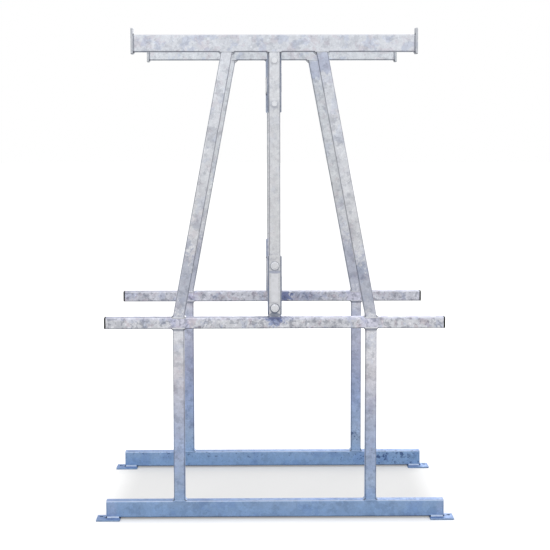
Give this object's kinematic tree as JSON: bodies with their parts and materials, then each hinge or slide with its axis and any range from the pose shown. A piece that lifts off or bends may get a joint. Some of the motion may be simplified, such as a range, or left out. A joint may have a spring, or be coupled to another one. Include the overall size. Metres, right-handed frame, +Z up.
{
  "type": "long-goods storage stand",
  "caption": "Free-standing galvanised steel stand for long goods: two A-shaped end frames of welded tube joined by bolted longitudinal beams, with end stops on the top beams.",
  "frame": {"origin": "middle of the footprint, on the floor", "axes": "+Z up; +X along the bars of the end frames, to the right seen from the front; +Y from the front end frame to the rear one"},
  "size_m": [1.274, 0.88, 1.74],
  "materials": {
    "galvanised_steel": "hot-dip galvanised, mottled grey, soft satin",
    "fastener_steel": "bright zinc plated",
    "label_strip": "blank satin sheet",
    "cap_plastic": "moulded black, fine texture"
  },
  "bodies": {
    "root": {"blank_label_strip": "label_strip", "front_base_rail": "galvanised_steel", "front_centre_column": "galvanised_steel", "front_end_cap_left": "cap_plastic", "front_end_cap_right": "cap_plastic", "front_end_stop_left": "galvanised_steel", "front_end_stop_right": "galvanised_steel", "front_foot_plate_left": "galvanised_steel", "front_foot_plate_right": "galvanised_steel", "front_lower_post_left": "galvanised_steel", "front_lower_post_right": "galvanised_steel", "front_mid_bar": "galvanised_steel", "front_rail_end_plate_left": "galvanised_steel", "front_rail_end_plate_right": "galvanised_steel", "front_top_beam": "galvanised_steel", "front_upper_post_left": "galvanised_steel", "front_upper_post_right": "galvanised_steel", "lower_front_bolts": "fastener_steel", "lower_front_head_washers": "fastener_steel", "lower_front_nut_washers": "fastener_steel", "lower_front_nuts": "fastener_steel", "lower_joint_plate": "galvanised_steel", "lower_rear_bolts": "fastener_steel", "lower_rear_head_washers": "fastener_steel", "lower_rear_nut_washers": "fastener_steel", "lower_rear_nuts": "fastener_steel", "lower_spacer_front_flange": "galvanised_steel", "lower_spacer_rear_flange": "galvanised_steel", "lower_spacer_tube": "galvanised_steel", "rear_base_rail": "galvanised_steel", "rear_centre_column": "galvanised_steel", "rear_end_cap_left": "cap_plastic", "rear_end_cap_right": "cap_plastic", "rear_end_stop_left": "galvanised_steel", "rear_end_stop_right": "galvanised_steel", "rear_foot_plate_left": "galvanised_steel", "rear_foot_plate_right": "galvanised_steel", "rear_lower_post_left": "galvanised_steel", "rear_lower_post_right": "galvanised_steel", "rear_mid_bar": "galvanised_steel", "rear_rail_end_plate_left": "galvanised_steel", "rear_rail_end_plate_right": "galvanised_steel", "rear_top_beam": "galvanised_steel", "rear_upper_post_left": "galvanised_steel", "rear_upper_post_right": "galvanised_steel", "upper_front_bolts": "fastener_steel", "upper_front_head_washers": "fastener_steel", "upper_front_nut_washers": "fastener_steel", "upper_front_nuts": "fastener_steel", "upper_rear_bolts": "fastener_steel", "upper_rear_head_washers": "fastener_steel", "upper_rear_nut_washers": "fastener_steel", "upper_rear_nuts": "fastener_steel", "upper_spacer_front_flange": "galvanised_steel", "upper_spacer_rear_flange": "galvanised_steel", "upper_spacer_tube": "galvanised_steel"}
  },
  "joints": []
}
